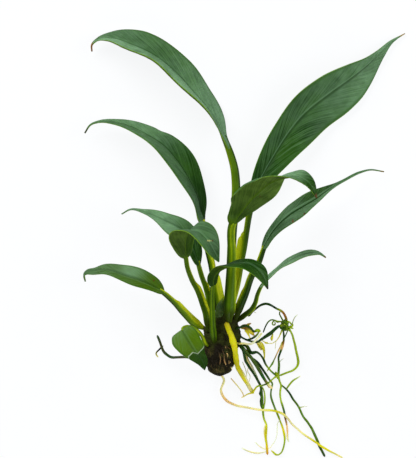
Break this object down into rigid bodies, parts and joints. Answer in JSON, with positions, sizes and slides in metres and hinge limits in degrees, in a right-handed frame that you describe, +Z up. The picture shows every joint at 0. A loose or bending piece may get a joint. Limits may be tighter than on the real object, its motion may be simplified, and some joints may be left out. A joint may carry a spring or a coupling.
{
  "type": "anubias plant",
  "caption": "Small aquarium plant lying as picked: lance-shaped leaves on long stems that rise from a short rhizome, with trailing roots.",
  "frame": {"origin": "centre of the plant's outline on the surface that it lies on", "axes": "+Y along the plant from its roots to its tallest leaves, +X to the right seen from above, +Z up from the surface"},
  "size_m": [0.1009, 0.1341, 0.0404],
  "materials": {
    "leaf": "dark green leathery leaf with a soft sheen, paler underneath",
    "stem": "smooth yellow-green leaf stem, dark green on its shaded side",
    "rhizome": "rough dark brown and olive rhizome with beige scars",
    "root_yellow": "smooth moist yellow root",
    "root_green": "smooth moist yellow-green root",
    "root_dark": "smooth moist dark green root",
    "root_cream": "pale cream root, a little see-through",
    "root_brown": "dull brown root"
  },
  "bodies": {
    "root": {"rhizome": "rhizome", "leaf_tall_left": "leaf", "leaf_tall_right": "leaf", "leaf_centre": "leaf", "leaf_upper_left": "leaf", "leaf_behind_left": "leaf", "leaf_folded_left": "leaf", "leaf_low_left": "leaf", "leaf_small_centre": "leaf", "leaf_mid_right": "leaf", "leaf_narrow_right": "leaf", "leaf_drooping": "leaf", "stem_tall_left": "stem", "stem_tall_right": "stem", "stem_centre": "stem", "stem_upper_left": "stem", "stem_behind_left": "stem", "stem_folded_left": "stem", "stem_low_left": "stem", "stem_small_centre": "stem", "stem_mid_right": "stem", "stem_narrow_right": "stem", "stem_drooping": "stem", "bud_cluster": "root_green", "root_yellow_front": "root_yellow", "root_dark_front": "root_dark", "root_green_front": "root_green", "root_hooked": "root_green", "root_dark_right": "root_dark", "root_arching": "root_dark", "root_bent_right": "root_green", "root_kinked": "root_green", "root_long_right": "root_dark", "root_long_pale": "root_cream", "root_yellow_back": "root_yellow", "root_brown_short": "root_brown", "root_pale_crossing": "root_cream", "root_thin_arc": "root_green", "root_dark_curl": "root_dark", "root_left": "root_brown", "root_left_fork": "root_yellow", "root_thin_diagonal": "root_green", "root_thin_cross": "root_yellow", "root_tuft_strand": "root_green", "root_tuft_whisker": "root_cream", "root_right_fork": "root_green", "root_lower_loop": "root_yellow"}
  },
  "joints": []
}
